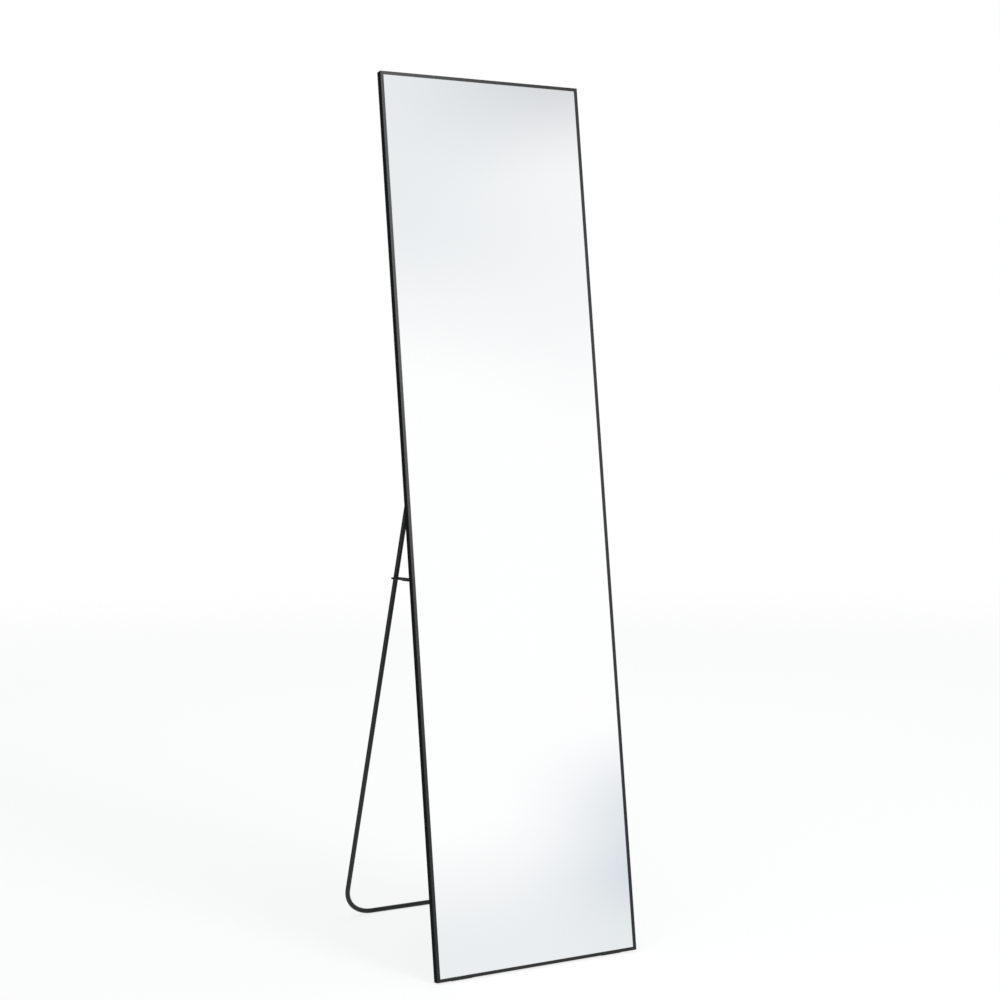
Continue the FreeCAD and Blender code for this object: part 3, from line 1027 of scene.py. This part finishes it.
@dataclass
class WireStay:
    """One wire bail that holds a leg open."""

    wardrobe: Wardrobe
    side: str
    wire_radius: float = 1.75 * MM
    leg_x: float = 171 * MM
    half_end: float = 23.1 * MM
    half_spread: float = 14 * MM
    half_neck: float = 6.65 * MM
    shoulder_start: float = 54 * MM
    shoulder_end: float = 74 * MM
    length: float = 123.498 * MM
    rise: float = math.radians(5.5592)
    end_bend: float = 5 * MM
    shoulder_bend: float = 9 * MM

    def build(self) -> None:
        """Bends the wire."""
        bar = RoundBar("wire_bail_" + self.side, self.wire_radius, sides=24, end_bevel=0.3 * MM)
        self.wardrobe.fit(bar.bend(*self.route()), Slot.STAY, "stay_" + self.side, "stay_" + self.side)

    def route(self) -> tuple[list[Vector], list[float]]:
        """The wire's route from its left end round the nose to its right end.

        Returns:
            Its corners, and the radius of the bend at each inner one.
        """
        half = [(self.half_end, 0, 0), (self.half_spread, 0, self.end_bend),
                (self.half_spread, self.shoulder_start, self.shoulder_bend),
                (self.half_neck, self.shoulder_end, self.shoulder_bend),
                (self.half_neck, self.length, self.half_neck)]
        whole = [(-across, along, radius) for across, along, radius in half] + half[::-1]
        pivot = Vector(joint("stay_" + self.side + "_swing")["pos_m"])
        angle = self.rise - LEAN.angle
        out = Vector((0, math.cos(angle), math.sin(angle)))
        middle = Vector((SIDES[self.side] * self.leg_x, pivot.y, pivot.z))
        corners = [middle + Vector((across, 0, 0)) + out * along for across, along, radius in whole]
        return corners, [radius for across, along, radius in whole[1:-1]]


def joint(name: str) -> dict:
    """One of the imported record's joints."""
    return next(entry for entry in frame["joints"] if entry["name"] == name)


# --- the studio ---


@dataclass(frozen=True)
class SoftBox:
    """A soft rectangular lamp that faces the mirror."""

    name: str
    place: Colour
    size: tuple[float, float]
    watts: float
    aim: Colour = (0, 0, 0.8)

    def hang(self) -> None:
        """Hangs the lamp, unseen by the camera."""
        data = bpy.data.lights.new(self.name, "AREA")
        data.shape = "RECTANGLE"
        data.size, data.size_y = self.size
        data.energy = self.watts
        lamp = bpy.data.objects.new(self.name, data)
        lamp.location = self.place
        lamp.rotation_euler = (Vector(self.aim) - lamp.location).to_track_quat("-Z", "Y").to_euler()
        lamp.visible_camera = False
        bpy.context.collection.objects.link(lamp)


@dataclass
class Studio:
    """The pale floor, the soft light and the camera."""

    picture: int = 1000
    focal_pixels: float = 1909.28
    vanishing_centre: tuple[float, float] = (600.5, 500.5)
    eye: Colour = (-1.57889, -3.1853, 1.00659)
    pitch_down: float = 3.05007
    yaw_right: float = 30.10684
    roll: float = -0.09817
    sensor: float = 36.0
    floor_size: float = 60.0
    floor_white: float = 0.78
    floor_fade: tuple[float, float] = (3.0, 7.0)
    lamps: tuple[SoftBox, ...] = (SoftBox("front_box", (0.75, -3.4, 2.4), (1.0, 2.4), 66),
                                  SoftBox("rear_box", (1.9, 2.6, 2.6), (1.6, 1.6), 16))

    def build(self) -> None:
        """Sets up the camera, the floor, the world and the lamps."""
        self._camera()
        self._floor()
        self._world()
        for lamp in self.lamps:
            lamp.hang()
        bpy.context.scene.view_settings.view_transform = "Standard"

    def _camera(self) -> None:
        """Places the camera where the photograph was taken from."""
        data = bpy.data.cameras.new("photo_camera")
        data.sensor_width = self.sensor
        data.lens = self.focal_pixels * self.sensor / self.picture
        across, down = self.vanishing_centre
        data.shift_x = (self.picture / 2 - across) / self.picture
        data.shift_y = (down - self.picture / 2) / self.picture
        camera = bpy.data.objects.new("photo_camera", data)
        camera.location = self.eye
        turned = Matrix.Rotation(-math.radians(self.yaw_right), 3, "Z")
        tipped = Matrix.Rotation(math.radians(90 - self.pitch_down), 3, "X")
        rolled = Matrix.Rotation(math.radians(self.roll), 3, "Z")
        camera.rotation_euler = (turned @ tipped @ rolled).to_euler()
        bpy.context.collection.objects.link(camera)
        bpy.context.scene.camera = camera

    def _floor(self) -> None:
        """Lays the pale floor that takes the mirror's shadow."""
        Workpiece.clear()
        bpy.ops.mesh.primitive_plane_add(size=self.floor_size, location=(0, 0, 0))
        floor = bpy.context.object
        floor.name = "studio_floor"
        floor.visible_glossy = False
        floor.data.materials.append(self._floor_material())

    def _floor_material(self) -> bpy.types.Material:
        """Matt white that fades into the backdrop far away."""
        material = bpy.data.materials.new("studio_floor")
        material.use_nodes = True
        board = NodeBoard(material.node_tree)
        place = board.place()
        away = board.node("ShaderNodeVectorMath", {"operation": "LENGTH"}, {0: place})
        far = Signal(board, away.outputs["Value"]).smooth(*self.floor_fade)
        matt = board.node("ShaderNodeBsdfDiffuse", feeds={"Color": (0.97, 0.97, 0.97)})
        glow = board.node("ShaderNodeEmission", feeds={"Color": (1, 1, 1), "Strength": 1.0})
        share = board.past() * (self.floor_white + (1 - self.floor_white) * far)
        feeds = {0: share, 1: matt.outputs[0], 2: glow.outputs[0]}
        mixed = board.node("ShaderNodeMixShader", feeds=feeds)
        board.node("ShaderNodeOutputMaterial", feeds={"Surface": mixed.outputs[0]})
        return material

    def _world(self) -> None:
        """Surrounds the mirror with soft light, and shows white wherever the camera looks past it."""
        world = bpy.data.worlds.new("soft_studio")
        world.use_nodes = True
        bpy.context.scene.world = world
        board = NodeBoard(world.node_tree)
        direction = board.node("ShaderNodeTexCoord").outputs["Generated"]
        light = self._surroundings(board, direction)
        colour = board.blend(board.past(), light, (1, 1, 1))
        shown = board.node("ShaderNodeBackground", feeds={"Color": colour, "Strength": 1.0})
        board.node("ShaderNodeOutputWorld", feeds={"Surface": shown.outputs[0]})

    def _surroundings(self, board: NodeBoard, direction: bpy.types.NodeSocket) -> bpy.types.NodeSocket:
        """What lights the mirror and shows in its glass: white walls, a dark flag and grey shades.

        Args:
            board: The world's node board.
            direction: The direction of view.

        Returns:
            The colour from each direction.
        """
        across, back, up = board.split(direction)
        flag = (back * 0.86 - across * 0.5).smooth(0.45, 0.85)
        flag = flag * up.smooth(-0.55, -0.4) * up.smooth(0.7, 0.4)
        right = (across + back * 0.52).smooth(-0.06, 0.08)
        cloud = board.noise(direction, 6.5, 1.5) - 0.5
        veil = (up + right * 0.05 + cloud * 0.06).smooth(0.24, 0.35) * (0.18 - 0.09 * right)
        corner = (up + cloud * 0.05).smooth(0.335, 0.39) * right * 0.26
        mist = (up + cloud * 0.02).smooth(0.03, -0.045) * 0.16
        patch = up.smooth(0.07, 0.015) * (0.3 + 0.7 * up.smooth(-0.045, -0.01)) * right * right * 0.3
        shade = board.blend(veil + mist, (1, 1, 1), (0, 0.15, 0.22))
        shade = board.blend(corner, shade, (0, 0.03, 0.08))
        shade = board.blend(patch, shade, (0, 0.16, 0.31))
        return board.blend(flag * 0.97, shade, (0.02, 0.02, 0.02))


def main() -> None:
    """Builds the mirror's pieces in order, then the studio."""
    logging.basicConfig(level=logging.INFO, format="%(name)s: %(message)s")
    wardrobe = Wardrobe()
    MirrorPanel(wardrobe).build()
    FoldingStand(wardrobe).build()
    for side in SIDES:
        WireStay(wardrobe, side).build()
    hinge = FoldedBracket(half_width=11 * MM, half_height=30 * MM, ear_radius=7.5 * MM, sheet=2 * MM,
                          bore=4.58 * MM, corner=2.4 * MM)
    hinge_seats = [(across, up) for across in (-5.5 * MM, 5.5 * MM) for up in (-22 * MM, 22 * MM)]
    BracketPair(wardrobe, "hinge", hinge, 142 * MM, hinge_seats).build("stand_fold")
    stay = FoldedBracket(half_width=21.5 * MM, half_height=7 * MM, ear_radius=4.5 * MM, sheet=1.5 * MM,
                         bore=1.83 * MM, corner=1.5 * MM)
    stay_seats = [(-10 * MM, 0.0), (10 * MM, 0.0)]
    BracketPair(wardrobe, "stay", stay, 171 * MM, stay_seats).build("stay_left_swing")
    Studio().build()


if __name__ == "__main__":
    main()
